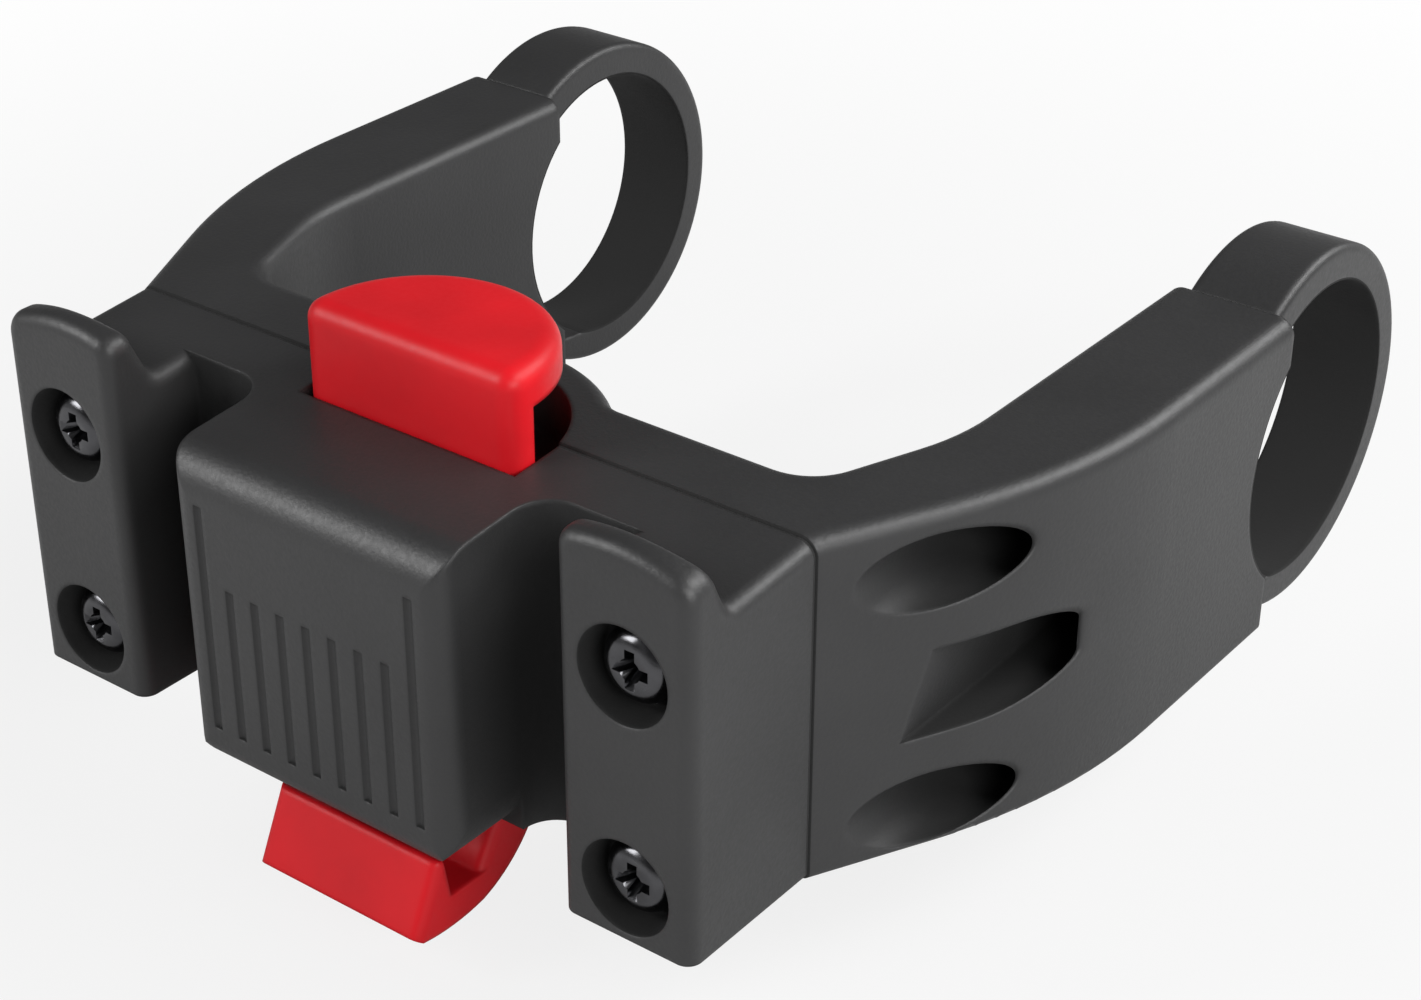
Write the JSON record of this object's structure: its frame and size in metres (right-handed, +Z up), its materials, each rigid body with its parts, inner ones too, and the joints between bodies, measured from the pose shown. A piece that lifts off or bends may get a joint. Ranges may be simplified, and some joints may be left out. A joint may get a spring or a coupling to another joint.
{
  "type": "bicycle handlebar bag mount",
  "caption": "Handlebar bag mount: two-rail front plate with a sprung release catch, on a flared two-arm yoke with strap clamps for an oversize handlebar.",
  "frame": {"origin": "on the handlebar axis, midway between the two clamps", "axes": "+X along the handlebar, to the right seen from in front of the plate; the front plate faces -Y; +Z up"},
  "size_m": [0.1068, 0.1126, 0.0552],
  "materials": {
    "plate_plastic": "fine satin moulding texture",
    "yoke_plastic": "fine satin moulding texture",
    "strap_plastic": "smooth satin",
    "screw_steel": "dark plated steel",
    "slider_plastic": "satin red",
    "spring_steel": "drawn wire"
  },
  "bodies": {
    "frame": {"front_plate": "plate_plastic", "arm_yoke": "yoke_plastic", "plate_screws": "screw_steel", "clamp_screws": "screw_steel", "return_spring": "spring_steel"},
    "slider": {"release_slider": "slider_plastic"},
    "left_strap": {"left_clamp_strap": "strap_plastic"},
    "right_strap": {"right_clamp_strap": "strap_plastic"}
  },
  "joints": [
    {"name": "release_press", "type": "slide", "parent": "frame", "child": "slider", "axis": [0, 0, -1], "range_m": [0, 0.0045], "stiffness_N_per_m": 600, "springref_m": -0.008, "deforming": ["return_spring"]},
    {"name": "left_strap_let_out", "type": "slide", "parent": "frame", "child": "left_strap", "axis": [0, 1, 0], "range_m": [0, 0.006]},
    {"name": "right_strap_let_out", "type": "slide", "parent": "frame", "child": "right_strap", "axis": [0, 1, 0], "range_m": [0, 0.006]}
  ]
}
